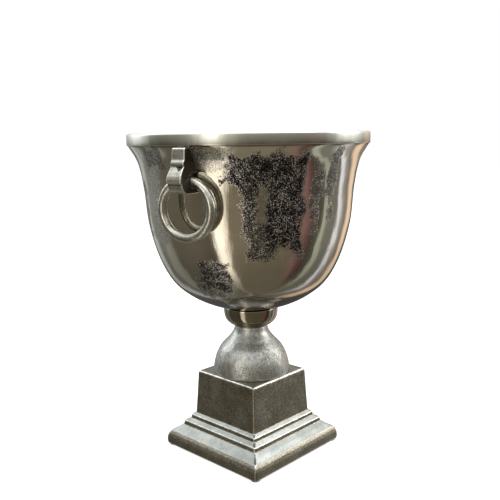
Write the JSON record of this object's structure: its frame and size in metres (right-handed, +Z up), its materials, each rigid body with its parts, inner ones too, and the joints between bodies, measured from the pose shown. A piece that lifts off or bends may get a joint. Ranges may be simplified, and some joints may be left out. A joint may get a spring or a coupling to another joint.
{
  "type": "champagne bucket",
  "caption": "Footed champagne bucket: flared metal bowl with an upright band at the rim, swinging ring handles on hooked brackets, a bell stem and a hollow square pedestal.",
  "frame": {"origin": "on the surface the bucket stands on, under the centre of the pedestal", "axes": "+Z up along the axis of the bowl and stem; X and Y square to the pedestal's sides; the ring handles lie 15 degrees round from X, anticlockwise from above"},
  "size_m": [0.2818, 0.26, 0.354],
  "materials": {
    "polished_nickel": "cast aluminium, polished and nickel plated, warm mirror with etched dark patches and fine white pits",
    "satin_nickel": "cast aluminium, satin nickel plate with a slightly uneven cast surface",
    "pedestal_nickel": "cast aluminium, antiqued nickel plate, pebbled, with bright worn edges",
    "zinc_steel": "zinc plated steel",
    "seal_fibre": "matte red vulcanised fibre",
    "felt": "dense dark felt"
  },
  "bodies": {
    "bucket": {"bowl": "polished_nickel", "stem_collar": "polished_nickel", "stem_bell": "satin_nickel", "pedestal": "pedestal_nickel", "handle_bracket_left": "satin_nickel", "handle_bracket_right": "satin_nickel", "tie_rod": "zinc_steel", "flat_washer": "zinc_steel", "spring_washer": "zinc_steel", "hex_nut": "zinc_steel", "bracket_screw_left": "zinc_steel", "bracket_screw_right": "zinc_steel", "bracket_seal_left": "seal_fibre", "bracket_seal_right": "seal_fibre", "felt_foot_front_left": "felt", "felt_foot_front_right": "felt", "felt_foot_back_left": "felt", "felt_foot_back_right": "felt"},
    "ring_left": {"handle_ring_left": "satin_nickel"},
    "ring_right": {"handle_ring_right": "satin_nickel"}
  },
  "joints": [
    {"name": "ring_left_swing", "type": "hinge", "parent": "bucket", "child": "ring_left", "pos_m": [-0.11939, -0.03199, 0.31], "axis": [-0.2588, 0.9659, 0], "range_deg": [-9, 160]},
    {"name": "ring_right_swing", "type": "hinge", "parent": "bucket", "child": "ring_right", "pos_m": [0.11939, 0.03199, 0.31], "axis": [0.2588, -0.9659, 0], "range_deg": [-9, 160]}
  ]
}
